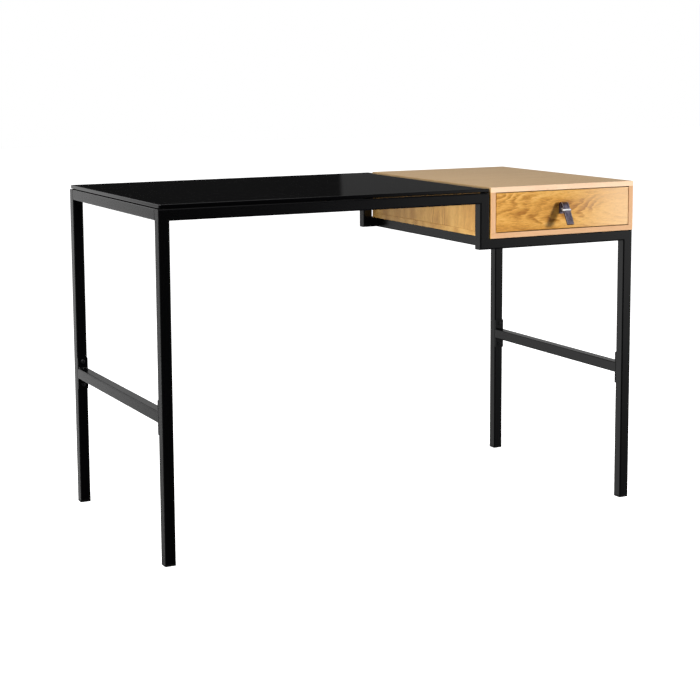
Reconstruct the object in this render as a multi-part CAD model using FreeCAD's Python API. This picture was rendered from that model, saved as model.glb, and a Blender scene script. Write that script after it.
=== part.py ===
"""Writing desk: a stepped steel tube frame, a black glass top and an oak cabinet with one drawer.

Millimetres. +X runs towards the cabinet, the drawer opens along -Y, +Z is up. The origin is on the floor,
under the middle of the desk's outline, the drawer's pull strap included.
"""

import FreeCAD, Part

import math
import os

V = FreeCAD.Vector
X = V(1, 0, 0)
Y = V(0, 1, 0)
Z = V(0, 0, 1)

# Frame: two stepped loops of square tube, front and rear, and the bars between them
LENGTH = 1200.0
DEPTH = 600.0
FRAME_HEIGHT = 760.0
STEP_LENGTH = 800.0
STEP_DROP = 105.0
TUBE = 25.0
TUBE_WALL = 1.5
TUBE_CORNER = 3.0
BEARER_INSET = 12.0
STRETCHER_HEIGHT = 318.0

# Plastic foot under each leg
FOOT_HEIGHT = 4.5
FOOT_PLUG = 14.0
FOOT_PLUG_PLAY = 0.2

# End plate on each stretcher end, and its two bolts
PLATE_HEIGHT = 76.0
PLATE_THICK = 3.0
PLATE_CORNER = 2.0
BOLT_SPACING = 56.0
BOLT_RADIUS = 3.0
BOLT_LENGTH = 12.0
BOLT_HEAD_RADIUS = 5.25
BOLT_HEAD_HEIGHT = 3.0
BOLT_SOCKET = 4.0
BOLT_SOCKET_DEPTH = 1.8
BOLT_HOLE_PLAY = 0.3
NUT_ACROSS_FLATS = 10.0
NUT_THICK = 5.0
NUT_BORE_PLAY = 0.05

# Glass top on round pads
GLASS_THICK = 8.0
GLASS_INSET = 2.0
GLASS_EDGE = 1.5
GLASS_CORNER = 4.0
GLASS_TO_CABINET = 1.0
PAD_THICK = 1.5
PAD_RADIUS = 6.0
PADS_PER_RAIL = 3

# Cabinet of veneered board
CABINET_HEIGHT = 117.0
CABINET_PROUD = 3.0
CABINET_SHORT = 23.0
CABINET_GAP = 2.0
BOARD = 12.0
EDGING = 1.0
BOARD_EDGE = 0.6
JOINT_EDGE = 0.8
DOWEL_RADIUS = 3.0
DOWEL_IN_BOARD = 8.0
DOWEL_IN_SIDE = 16.0
DOWEL_FROM_END = 60.0
DOWELS_PER_JOINT = 3

# Screws that hold the cabinet down on its bearers
HOLD_DOWN_RADIUS = 2.5
HOLD_DOWN_HEAD_RADIUS = 5.0
HOLD_DOWN_HEAD_HEIGHT = 2.5
HOLD_DOWN_TIP_COVER = 3.0
HOLD_DOWN_FROM_END = 90.0
HOLD_DOWN_HOLE_PLAY = 0.3

# Drawer: a show front on a plain box
FRONT_GAP = 2.0
FRONT_THICK = 16.0
BOX_BOARD = 12.0
BOX_UNDER_ROOM = 5.0
BOX_OVER_ROOM = 8.0
BOX_BOTTOM_THICK = 5.0
BOX_BOTTOM_RISE = 8.0
BOX_GROOVE = 6.0
FRONT_SCREW_RADIUS = 2.0
FRONT_SCREW_HEAD_RADIUS = 4.0
FRONT_SCREW_HEAD_HEIGHT = 2.2
FRONT_SCREW_TIP_COVER = 5.0
FRONT_SCREW_FROM_SIDE = 40.0
FRONT_SCREW_FROM_FLOOR = 10.5
FRONT_SCREW_FROM_TOP = 20.5

# Ball bearing runners: three nested steel channels and two ball cages on each side
RUNNER_THICK = 12.7
RUNNER_HEIGHT = 45.0
RUNNER_WALL = 1.2
RUNNER_FRONT_ROOM = 3.0
RUNNER_REAR_ROOM = 49.0
BALL_RADIUS = 1.6
BALL_PLAY = 0.2
BALL_PITCH = 18.0
BALL_IN_CAGE_PLAY = 0.05
CAGE_LENGTH = 180.0
CAGE_STRIP = 1.0
CAGE_WEB = 0.8
CAGE_WEB_PLAY = 0.5
FLANGE_SHORT = 2.2
RUNNER_SCREW_RADIUS = 1.75
RUNNER_SCREW_HEAD_RADIUS = 3.2
RUNNER_SCREW_HEAD_HEIGHT = 2.0
RUNNER_SCREW_TIP_COVER = 2.0
RUNNER_SCREW_FROM_END = 35.0
RUNNER_SCREWS = 3

# Pull: a leather strap folded over, with a metal band, held by a screw and a sleeve nut
STRAP_WIDTH = 20.0
STRAP_THICK = 3.2
STRAP_BEND = 5.4
STRAP_LEAN = 27.0
STRAP_FRONT_LENGTH = 52.0
STRAP_TOP_RISE = 10.5
STRAP_TAIL = 10.0
STRAP_CORNER = 3.0
STRAP_OFF_CENTRE = -4.0
BAND_HEIGHT = 4.0
BAND_THICK = 0.8
BAND_FROM_BEND = 15.0
PULL_SCREW_RADIUS = 2.0
PULL_SCREW_HEAD_RADIUS = 4.2
PULL_SCREW_HEAD_HEIGHT = 2.4
SLEEVE_RADIUS = 3.0
SLEEVE_LENGTH = 8.0
SLEEVE_HEAD_RADIUS = 5.0
SLEEVE_HEAD_HEIGHT = 1.5
SLEEVE_PLAY = 0.1

# Places worked out from the sizes above
lean = math.radians(STRAP_LEAN)
strap_reach = STRAP_THICK / 2 + STRAP_BEND * (1 + math.cos(lean))
strap_reach += STRAP_FRONT_LENGTH * math.sin(lean) + STRAP_THICK / 2 * math.cos(lean)
front_reach = CABINET_PROUD + strap_reach

left = -LENGTH / 2
right = LENGTH / 2
front = -(DEPTH - front_reach) / 2
rear = front + DEPTH
step = left + STEP_LENGTH
low_rail_top = FRAME_HEIGHT - STEP_DROP
low_rail_bottom = low_rail_top - TUBE

cabinet_left = step + CABINET_GAP
cabinet_right = right - CABINET_GAP
cabinet_front = front - CABINET_PROUD
cabinet_rear = rear - CABINET_SHORT
cabinet_bottom = low_rail_top
cabinet_top = cabinet_bottom + CABINET_HEIGHT
inner_left = cabinet_left + BOARD
inner_right = cabinet_right - BOARD
inner_bottom = cabinet_bottom + BOARD
inner_top = cabinet_top - BOARD
inner_rear = cabinet_rear - BOARD

front_back = cabinet_front + FRONT_THICK
runner_front = front_back + RUNNER_FRONT_ROOM
runner_rear = inner_rear - RUNNER_REAR_ROOM
runner_middle = (runner_front + runner_rear) / 2
runner_z = (inner_bottom + inner_top) / 2
box_left = inner_left + RUNNER_THICK
box_right = inner_right - RUNNER_THICK
box_bottom = inner_bottom + BOX_UNDER_ROOM
box_top = inner_top - BOX_OVER_ROOM
box_rear = runner_rear
floor_bottom = box_bottom + BOX_BOTTOM_RISE
floor_top = floor_bottom + BOX_BOTTOM_THICK
pull_x = (cabinet_left + cabinet_right) / 2 + STRAP_OFF_CENTRE
pull_z = (inner_bottom + inner_top) / 2


def save(name, *solids):
    """Write one node, made of one or more separate solids."""
    shape = solids[0] if len(solids) == 1 else Part.makeCompound(list(solids))
    shape.exportStep("parts/" + name + ".step")


def block(low, high):
    """Plain block between two opposite corners."""
    size = high - low
    return Part.makeBox(size.x, size.y, size.z, low)


def edges_along(shape, axis):
    """The straight edges of a shape that run along an axis."""
    found = []
    for edge in shape.Edges:
        run = edge.Vertexes[-1].Point - edge.Vertexes[0].Point
        if run.Length > 0 and run.cross(axis).Length < 1e-6 * run.Length:
            found.append(edge)
    return found


def bar(low, high, axis, radius):
    """Block whose four edges along one axis are rounded."""
    shape = block(low, high)
    return shape.makeFillet(radius, edges_along(shape, axis))


def tube(low, high, axis):
    """Square tube between two opposite corners, open at both ends."""
    wall = (V(1, 1, 1) - axis) * TUBE_WALL
    outer = bar(low, high, axis, TUBE_CORNER)
    inner = bar(low + wall, high - wall, axis, TUBE_CORNER - TUBE_WALL)
    return outer.cut(inner)


def rod(radius, start, direction, length):
    return Part.makeCylinder(radius, length, start, direction)


def hexagon(across_flats, start, direction, length):
    """Six-sided prism along a direction."""
    reach = across_flats / math.sqrt(3)
    points = []
    for i in range(7):
        turn = math.radians(60 * i)
        points.append(V(reach * math.cos(turn), reach * math.sin(turn), 0))
    prism = Part.Face(Part.makePolygon(points)).extrude(Z * length)
    prism.Placement = FreeCAD.Placement(start, FreeCAD.Rotation(Z, direction))
    return prism


def pan_screw(seat, inward, radius, length, head_radius, head_height):
    """Round-headed screw: its head stands on the seat, its shank runs inward."""
    head = rod(head_radius, seat, -inward, head_height)
    top = seat - inward * head_height
    rim = [e for e in head.Edges if (e.BoundBox.Center - top).Length < 1e-6]
    head = head.makeFillet(head_height * 0.45, rim)
    return head.fuse(rod(radius, seat, inward, length)).removeSplitter()


def flat_screw(seat, inward, radius, length, head_radius, head_height):
    """Countersunk screw whose head is level with the seat."""
    head = Part.makeCone(head_radius, radius, head_height, seat, inward)
    return head.fuse(rod(radius, seat, inward, length)).removeSplitter()


def spread(first, last, count):
    """Evenly spaced places from the first to the last."""
    return [first + (last - first) * i / (count - 1) for i in range(count)]


def corner_halves(outer_x, outer_z, inner_x, inner_z, y):
    """The two wedges that a mitre makes of a corner: the upright tube's and the level tube's."""
    outer = V(outer_x, y, outer_z)
    inner = V(inner_x, y, inner_z)
    upright = Part.makePolygon([outer, inner, V(outer_x, y, inner_z), outer])
    level = Part.makePolygon([outer, inner, V(inner_x, y, outer_z), outer])
    return [Part.Face(wire).extrude(Y * TUBE) for wire in (upright, level)]


def stepped_loop(side, y, bolt_y, bolt_direction):
    """Front or rear loop: left leg, top rail, step post, low rail and right leg, mitred at the corners."""
    top = FRAME_HEIGHT
    back = y + TUBE
    low = low_rail_bottom
    left_up, left_level = corner_halves(left, top, left + TUBE, top - TUBE, y)
    step_up, step_level = corner_halves(step, top, step - TUBE, top - TUBE, y)
    foot_up, foot_level = corner_halves(step - TUBE, low, step, low + TUBE, y)
    right_up, right_level = corner_halves(right, low + TUBE, right - TUBE, low, y)

    left_leg = tube(V(left, y, FOOT_HEIGHT), V(left + TUBE, back, top), Z).cut(left_level)
    right_leg = tube(V(right - TUBE, y, FOOT_HEIGHT), V(right, back, low + TUBE), Z).cut(right_level)
    for dz in (-BOLT_SPACING / 2, BOLT_SPACING / 2):
        for leg_x in (left + TUBE / 2, right - TUBE / 2):
            start = V(leg_x, bolt_y, STRETCHER_HEIGHT + dz) - bolt_direction
            hole = rod(BOLT_RADIUS + BOLT_HOLE_PLAY, start, bolt_direction, TUBE_WALL + 2)
            left_leg = left_leg.cut(hole)
            right_leg = right_leg.cut(hole)
    save(side + "_left_leg", left_leg)
    save(side + "_right_leg", right_leg)

    top_rail = tube(V(left, y, top - TUBE), V(step, back, top), X)
    save(side + "_top_rail", top_rail.cut(left_up).cut(step_up))
    post = tube(V(step - TUBE, y, low), V(step, back, top), Z)
    save(side + "_step_post", post.cut(step_level).cut(foot_level))
    low_rail = tube(V(step - TUBE, y, low), V(right, back, low + TUBE), X)
    save(side + "_low_rail", low_rail.cut(foot_up).cut(right_up))


def frame_bars():
    """Tubes that join the front loop to the rear loop, welded between them."""
    y0 = front + TUBE
    y1 = rear - TUBE
    top = FRAME_HEIGHT
    save("left_side_rail", tube(V(left, y0, top - TUBE), V(left + TUBE, y1, top), Y))
    for name, x in (("left_bearer", step + BEARER_INSET), ("right_bearer", right - TUBE)):
        bearer = tube(V(x, y0, low_rail_bottom), V(x + TUBE, y1, low_rail_top), Y)
        for y in hold_down_rows():
            start = V(x + TUBE / 2, y, low_rail_bottom - 1)
            bearer = bearer.cut(rod(HOLD_DOWN_RADIUS + HOLD_DOWN_HOLE_PLAY, start, Z, TUBE + 2))
        save(name, bearer)


def feet():
    """Plastic foot pressed into the bottom of each leg."""
    gap = TUBE_WALL + FOOT_PLUG_PLAY
    for end, y in (("front", front), ("rear", rear - TUBE)):
        for side, x in (("left", left), ("right", right - TUBE)):
            base = bar(V(x, y, 0), V(x + TUBE, y + TUBE, FOOT_HEIGHT), Z, TUBE_CORNER)
            low = V(x + gap, y + gap, FOOT_HEIGHT)
            high = V(x + TUBE - gap, y + TUBE - gap, FOOT_HEIGHT + FOOT_PLUG)
            plug = bar(low, high, Z, TUBE_CORNER - TUBE_WALL)
            save(end + "_" + side + "_foot", base.fuse(plug))


def stretchers():
    """Low bar between each pair of legs, with an end plate bolted to each leg."""
    bolts = []
    nuts = []
    ends = (("front", front + TUBE, Y), ("rear", rear - TUBE, -Y))
    for side, x in (("left", left), ("right", right - TUBE)):
        low = V(x, front + TUBE + PLATE_THICK, STRETCHER_HEIGHT - TUBE / 2)
        high = V(x + TUBE, rear - TUBE - PLATE_THICK, STRETCHER_HEIGHT + TUBE / 2)
        save(side + "_stretcher", tube(low, high, Y))
        for end, face, away in ends:
            seat = face + away.y * PLATE_THICK
            low = V(x, min(face, seat), STRETCHER_HEIGHT - PLATE_HEIGHT / 2)
            high = V(x + TUBE, max(face, seat), STRETCHER_HEIGHT + PLATE_HEIGHT / 2)
            plate = bar(low, high, Y, PLATE_CORNER)
            for dz in (-BOLT_SPACING / 2, BOLT_SPACING / 2):
                at = V(x + TUBE / 2, seat, STRETCHER_HEIGHT + dz)
                plate = plate.cut(rod(BOLT_RADIUS + BOLT_HOLE_PLAY, at, -away, PLATE_THICK))
                bolt = pan_screw(at, -away, BOLT_RADIUS, BOLT_LENGTH, BOLT_HEAD_RADIUS, BOLT_HEAD_HEIGHT)
                socket_start = at + away * (BOLT_HEAD_HEIGHT - BOLT_SOCKET_DEPTH)
                bolts.append(bolt.cut(hexagon(BOLT_SOCKET, socket_start, away, BOLT_HEAD_HEIGHT)))
                nut_face = V(at.x, face - away.y * TUBE_WALL, at.z)
                nut = hexagon(NUT_ACROSS_FLATS, nut_face, -away, NUT_THICK)
                nuts.append(nut.cut(rod(BOLT_RADIUS + NUT_BORE_PLAY, nut_face, -away, NUT_THICK)))
            save(side + "_" + end + "_end_plate", plate)
    save("stretcher_bolts", *bolts)
    save("leg_nuts", *nuts)


def glass_top():
    """Glass sheet with polished edges, on round pads along both top rails."""
    bottom = FRAME_HEIGHT + PAD_THICK
    low = V(left + GLASS_INSET, front + GLASS_INSET, bottom)
    high = V(cabinet_left - GLASS_TO_CABINET, rear - GLASS_INSET, bottom + GLASS_THICK)
    sheet = bar(low, high, Z, GLASS_CORNER)
    rims = [e for e in sheet.Edges if e.BoundBox.ZLength < 1e-6]
    save("glass_top", sheet.makeFillet(GLASS_EDGE, rims))
    pads = []
    for y in (front + TUBE / 2, rear - TUBE / 2):
        for x in spread(left + TUBE / 2, step - TUBE / 2, PADS_PER_RAIL):
            pads.append(rod(PAD_RADIUS, V(x, y, FRAME_HEIGHT), Z, PAD_THICK))
    save("glass_pads", *pads)


def dowel_places():
    """Where the dowels stand: each side board's middle, in evenly spaced rows."""
    rows = spread(cabinet_front + DOWEL_FROM_END, cabinet_rear - DOWEL_FROM_END, DOWELS_PER_JOINT)
    return [(x, y) for x in (cabinet_left + BOARD / 2, cabinet_right - BOARD / 2) for y in rows]


def hold_down_rows():
    """Y of the screws that come up through the bearers into the cabinet."""
    return (front + HOLD_DOWN_FROM_END, rear - HOLD_DOWN_FROM_END)


def hold_down_screws():
    """Screws up through both bearers into the cabinet's bottom board."""
    length = TUBE + BOARD - HOLD_DOWN_TIP_COVER
    screws = []
    for x in (step + BEARER_INSET + TUBE / 2, right - TUBE / 2):
        for y in hold_down_rows():
            seat = V(x, y, low_rail_bottom)
            screw = pan_screw(seat, Z, HOLD_DOWN_RADIUS, length, HOLD_DOWN_HEAD_RADIUS, HOLD_DOWN_HEAD_HEIGHT)
            screws.append(screw)
    return screws


def runner_sides():
    """Each runner's name, the cabinet face that it is on, and the way from there to the drawer."""
    return (("left", inner_left, X), ("right", inner_right, -X))


def runner_screw_rows():
    return spread(runner_front + RUNNER_SCREW_FROM_END, runner_rear - RUNNER_SCREW_FROM_END, RUNNER_SCREWS)


def cabinet_runner_screws(face, way):
    """Flat-headed screws through a cabinet member's web into the cabinet side."""
    length = RUNNER_WALL + BOARD - RUNNER_SCREW_TIP_COVER
    screws = []
    for y in runner_screw_rows():
        seat = V(face, y, runner_z) + way * RUNNER_WALL
        screws.append(flat_screw(seat, -way, RUNNER_SCREW_RADIUS, length, RUNNER_SCREW_HEAD_RADIUS,
                                 RUNNER_SCREW_HEAD_HEIGHT))
    return screws


def drawer_runner_screws(face, way):
    """Flat-headed screws through a drawer member's web into the drawer's side."""
    length = RUNNER_WALL + BOX_BOARD - RUNNER_SCREW_TIP_COVER
    screws = []
    for y in runner_screw_rows():
        seat = V(face, y, runner_z) + way * (RUNNER_THICK - RUNNER_WALL)
        screws.append(flat_screw(seat, way, RUNNER_SCREW_RADIUS, length, RUNNER_SCREW_HEAD_RADIUS,
                                 RUNNER_SCREW_HEAD_HEIGHT))
    return screws


def cut_all(shape, tools):
    for tool in tools:
        shape = shape.cut(tool)
    return shape


def cabinet():
    """Open-fronted case: top and bottom boards over the sides, a back board, edging and dowels."""
    board_front = cabinet_front + EDGING
    dowels = []
    for x, y in dowel_places():
        for joint, way in ((inner_bottom, Z), (inner_top, -Z)):
            start = V(x, y, joint) - way * DOWEL_IN_BOARD
            dowels.append(rod(DOWEL_RADIUS, start, way, DOWEL_IN_BOARD + DOWEL_IN_SIDE))
    save("cabinet_dowels", *dowels)

    screws = hold_down_screws()
    save("cabinet_hold_down_screws", *screws)
    bottom = block(V(cabinet_left, board_front, cabinet_bottom), V(cabinet_right, cabinet_rear, inner_bottom))
    joint = [e for e in edges_along(bottom, Y) if e.BoundBox.ZMin > inner_bottom - 1e-6]
    save("cabinet_bottom", cut_all(bottom.makeFillet(JOINT_EDGE, joint), dowels + screws))
    top = block(V(cabinet_left, board_front, inner_top), V(cabinet_right, cabinet_rear, cabinet_top))
    joint = [e for e in edges_along(top, Y) if e.BoundBox.ZMax < inner_top + 1e-6]
    top = top.makeFillet(JOINT_EDGE, joint)
    rim = [e for e in top.Edges if e.BoundBox.ZMin > cabinet_top - 1e-6 and e.BoundBox.YMax > board_front + 1]
    save("cabinet_top", cut_all(top.makeFillet(BOARD_EDGE, rim), dowels))
    for side, face, way in runner_sides():
        outer = V(face, board_front, inner_bottom) - way * BOARD
        inner = V(face, cabinet_rear, inner_top)
        board = block(V(min(outer.x, inner.x), outer.y, outer.z), V(max(outer.x, inner.x), inner.y, inner.z))
        joints = [e for e in edges_along(board, Y) if abs(e.BoundBox.Center.x - outer.x) < 1e-6]
        board = board.makeFillet(JOINT_EDGE, joints)
        save("cabinet_" + side + "_side", cut_all(board, dowels + cabinet_runner_screws(face, way)))
    save("cabinet_back", block(V(inner_left, inner_rear, inner_bottom), V(inner_right, cabinet_rear, inner_top)))

    edge_y = cabinet_front
    for name, z0, z1 in (("bottom", cabinet_bottom, inner_bottom), ("top", inner_top, cabinet_top)):
        low = V(cabinet_left, edge_y, z0)
        save("cabinet_" + name + "_edging", block(low, V(cabinet_right, board_front, z1)))
    strips = []
    for x0, x1 in ((cabinet_left, inner_left), (inner_right, cabinet_right)):
        strips.append(block(V(x0, edge_y, inner_bottom), V(x1, board_front, inner_top)))
    save("cabinet_side_edgings", *strips)


def channel(face, way, web_from, web_to, flange_to, half_height, y0, y1, wall):
    """Channel section along Y: a web, and two flanges that reach from it to flange_to."""
    def slab(a, b, z0, z1):
        x0 = face + way.x * a
        x1 = face + way.x * b
        return block(V(min(x0, x1), y0, z0), V(max(x0, x1), y1, z1))

    reach = (min(web_from, flange_to), max(web_to, flange_to))
    web = slab(web_from, web_to, runner_z - half_height, runner_z + half_height)
    upper = slab(reach[0], reach[1], runner_z + half_height - wall, runner_z + half_height)
    lower = slab(reach[0], reach[1], runner_z - half_height, runner_z - half_height + wall)
    return web.fuse([upper, lower]).removeSplitter()


def ball_cage(face, way, web_from, half_height, flange_to):
    """U-shaped strip that keeps a row of balls above and a row below, and the balls."""
    y0 = runner_middle - CAGE_LENGTH / 2
    y1 = runner_middle + CAGE_LENGTH / 2
    outside = half_height + CAGE_STRIP / 2
    cage = channel(face, way, web_from, web_from + CAGE_WEB, flange_to, outside, y0, y1, CAGE_STRIP)
    count = int(CAGE_LENGTH / BALL_PITCH)
    first = runner_middle - BALL_PITCH * (count - 1) / 2
    ball_x = face + way.x * (web_from + CAGE_WEB + flange_to) / 2
    balls = []
    for i in range(count):
        for dz in (-half_height, half_height):
            centre = V(ball_x, first + BALL_PITCH * i, runner_z + dz)
            balls.append(Part.makeSphere(BALL_RADIUS, centre))
            start = centre - Z * CAGE_STRIP
            cage = cage.cut(rod(BALL_RADIUS + BALL_IN_CAGE_PLAY, start, Z, 2 * CAGE_STRIP))
    return [cage] + balls


def runners():
    """Both runners: cabinet member, outer balls, middle member, inner balls and drawer member."""
    race = 2 * (BALL_RADIUS + BALL_PLAY)
    step_in = RUNNER_WALL + race
    outer_half = RUNNER_HEIGHT / 2
    middle_half = outer_half - step_in
    drawer_half = middle_half - step_in
    web_gap = CAGE_WEB + 2 * CAGE_WEB_PLAY
    middle_web = RUNNER_WALL + web_gap
    inner_cage_web = middle_web + RUNNER_WALL + CAGE_WEB_PLAY
    drawer_flange = inner_cage_web + CAGE_WEB + CAGE_WEB_PLAY
    case_screws = []
    drawer_screws = []
    for side, face, way in runner_sides():
        name = side + "_runner_"
        screws = cabinet_runner_screws(face, way)
        case_screws += screws
        member = channel(face, way, 0, RUNNER_WALL, RUNNER_THICK - FLANGE_SHORT, outer_half,
                         runner_front, runner_rear, RUNNER_WALL)
        save(name + "cabinet_member", cut_all(member, screws))
        save(name + "middle_member",
             channel(face, way, middle_web, middle_web + RUNNER_WALL, RUNNER_THICK - FLANGE_SHORT, middle_half,
                     runner_front, runner_rear, RUNNER_WALL))
        screws = drawer_runner_screws(face, way)
        drawer_screws += screws
        member = channel(face, way, RUNNER_THICK - RUNNER_WALL, RUNNER_THICK, drawer_flange, drawer_half,
                         runner_front, runner_rear, RUNNER_WALL)
        save(name + "drawer_member", cut_all(member, screws))
        outer_race = outer_half - RUNNER_WALL - race / 2
        inner_race = middle_half - RUNNER_WALL - race / 2
        strip_end = RUNNER_THICK - FLANGE_SHORT
        save(name + "outer_ball_cage", *ball_cage(face, way, RUNNER_WALL + CAGE_WEB_PLAY, outer_race, strip_end))
        save(name + "inner_ball_cage", *ball_cage(face, way, inner_cage_web, inner_race, strip_end))
    save("runner_cabinet_screws", *case_screws)
    save("runner_drawer_screws", *drawer_screws)


def drawer_front_screws():
    """Four screws from inside the box into the show front."""
    seat_y = front_back + BOX_BOARD
    length = BOX_BOARD + FRONT_THICK - FRONT_SCREW_TIP_COVER
    screws = []
    for x in (box_left + FRONT_SCREW_FROM_SIDE, box_right - FRONT_SCREW_FROM_SIDE):
        for z in (floor_top + FRONT_SCREW_FROM_FLOOR, box_top - FRONT_SCREW_FROM_TOP):
            seat = V(x, seat_y, z)
            screws.append(pan_screw(seat, -Y, FRONT_SCREW_RADIUS, length, FRONT_SCREW_HEAD_RADIUS,
                                    FRONT_SCREW_HEAD_HEIGHT))
    return screws


def drawer():
    """Show front, and a box of two sides, inner front, back and a bottom held in grooves."""
    screws = drawer_front_screws()
    save("drawer_front_screws", *screws)
    low = V(inner_left + FRONT_GAP, cabinet_front, inner_bottom + FRONT_GAP)
    high = V(inner_right - FRONT_GAP, front_back, inner_top - FRONT_GAP)
    panel = block(low, high)
    rim = [e for e in panel.Edges if e.BoundBox.YMax < cabinet_front + 1e-6]
    panel = panel.makeFillet(BOARD_EDGE, rim)
    sleeve_hole = rod(SLEEVE_RADIUS + SLEEVE_PLAY, V(pull_x, cabinet_front, pull_z), Y, FRONT_THICK)
    save("drawer_front", cut_all(panel, screws + [sleeve_hole]))

    inside_left = box_left + BOX_BOARD
    inside_right = box_right - BOX_BOARD
    inside_front = front_back + BOX_BOARD
    inside_rear = box_rear - BOX_BOARD
    floor_low = V(inside_left - BOX_GROOVE, inside_front - BOX_GROOVE, floor_bottom)
    floor_high = V(inside_right + BOX_GROOVE, inside_rear + BOX_GROOVE, floor_top)
    floor = block(floor_low, floor_high)
    save("drawer_bottom", floor)

    pull_hole = rod(PULL_SCREW_RADIUS + SLEEVE_PLAY, V(pull_x, front_back, pull_z), Y, BOX_BOARD)
    inner_front = block(V(inside_left, front_back, box_bottom), V(inside_right, inside_front, box_top))
    save("drawer_box_front", cut_all(inner_front, screws + [floor, pull_hole]))
    back = block(V(inside_left, inside_rear, box_bottom), V(inside_right, box_rear, box_top))
    save("drawer_box_back", back.cut(floor))
    for side, face, way in runner_sides():
        outer_x = face + way.x * RUNNER_THICK
        low_x = min(outer_x, outer_x + way.x * BOX_BOARD)
        wall = block(V(low_x, front_back, box_bottom), V(low_x + BOX_BOARD, box_rear, box_top))
        save("drawer_" + side + "_side", cut_all(wall, [floor] + drawer_runner_screws(face, way)))


def pull_strap():
    """Leather strap: a short tail on the drawer front, a bend over the top, and a front part that leans out."""
    half = STRAP_THICK / 2
    tail_z = pull_z - STRAP_TAIL
    bend_z = pull_z + STRAP_TOP_RISE
    bend_u = half + STRAP_BEND
    outward = V(0, -math.cos(lean), math.sin(lean))
    down = V(0, -math.sin(lean), -math.cos(lean))
    bend = V(0, cabinet_front - bend_u, bend_z)
    middle_turn = (math.pi + lean) / 2
    middle = V(0, -math.cos(middle_turn), math.sin(middle_turn))

    outer_start = V(0, cabinet_front, bend_z)
    inner_start = V(0, cabinet_front - STRAP_THICK, bend_z)
    outer_end = bend + outward * (STRAP_BEND + half)
    inner_end = bend + outward * (STRAP_BEND - half)
    tip_outer = outer_end + down * STRAP_FRONT_LENGTH
    tip_inner = inner_end + down * STRAP_FRONT_LENGTH
    tail_outer = V(0, cabinet_front, tail_z)
    tail_inner = V(0, cabinet_front - STRAP_THICK, tail_z)
    edges = [
        Part.LineSegment(tail_outer, outer_start).toShape(),
        Part.Arc(outer_start, bend + middle * (STRAP_BEND + half), outer_end).toShape(),
        Part.LineSegment(outer_end, tip_outer).toShape(),
        Part.LineSegment(tip_outer, tip_inner).toShape(),
        Part.LineSegment(tip_inner, inner_end).toShape(),
        Part.Arc(inner_end, bend + middle * (STRAP_BEND - half), inner_start).toShape(),
        Part.LineSegment(inner_start, tail_inner).toShape(),
        Part.LineSegment(tail_inner, tail_outer).toShape(),
    ]
    strap = Part.Face(Part.Wire(edges)).extrude(X * STRAP_WIDTH)
    strap.translate(X * (pull_x - STRAP_WIDTH / 2))
    tip_z = max(tip_outer.z, tip_inner.z) + 1e-3
    corners = [e for e in edges_along(strap, outward) if e.BoundBox.ZMax < tip_z]
    strap = strap.makeFillet(STRAP_CORNER, corners)
    hole = rod(SLEEVE_RADIUS + SLEEVE_PLAY, V(pull_x, cabinet_front, pull_z), -Y, STRAP_THICK)
    save("pull_strap", strap.cut(hole))

    size = V(STRAP_WIDTH / 2, half, BAND_HEIGHT / 2)
    wall = V(BAND_THICK, BAND_THICK, 0)
    ring = bar(-size - wall, size + wall, Z, BAND_THICK)
    ring = ring.cut(block(-size, size))
    ring.rotate(V(0, 0, 0), X, -STRAP_LEAN)
    centre = bend + outward * STRAP_BEND + down * BAND_FROM_BEND
    ring.translate(V(pull_x, centre.y, centre.z))
    save("pull_band", ring)


def pull_fixing():
    """Sleeve nut from outside and screw from inside the drawer, which clamp the strap's tail."""
    outside = V(pull_x, cabinet_front - STRAP_THICK, pull_z)
    head = pan_screw(outside, Y, SLEEVE_RADIUS, STRAP_THICK + SLEEVE_LENGTH, SLEEVE_HEAD_RADIUS,
                     SLEEVE_HEAD_HEIGHT)
    bore = rod(PULL_SCREW_RADIUS + NUT_BORE_PLAY, outside, Y, STRAP_THICK + SLEEVE_LENGTH)
    save("pull_sleeve_nut", head.cut(bore))
    inside = V(pull_x, front_back + BOX_BOARD, pull_z)
    length = BOX_BOARD + FRONT_THICK
    save("pull_screw", pan_screw(inside, -Y, PULL_SCREW_RADIUS, length, PULL_SCREW_HEAD_RADIUS,
                                 PULL_SCREW_HEAD_HEIGHT))


os.makedirs("parts", exist_ok=True)
stepped_loop("front", front, front + TUBE, -Y)
stepped_loop("rear", rear - TUBE, rear - TUBE, Y)
frame_bars()
feet()
stretchers()
glass_top()
cabinet()
runners()
drawer()
pull_strap()
pull_fixing()
print("drawer travel at full extension is the runner length:", runner_rear - runner_front)
print("strap reach from the drawer front:", round(strap_reach, 3))
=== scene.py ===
# %% [markdown]
# # A writing desk: stepped steel frame, black glass and an oak cabinet
# The design came first: every tube, board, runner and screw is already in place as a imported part. This
# notebook only gives it its looks. We load that part as a fixed frame, keep most of its pieces and paint
# them, and rebuild a few small ones that need softer or finer shapes than the design gave them.

import math

import bmesh
import bpy
from mathutils import Matrix, Vector


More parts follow.
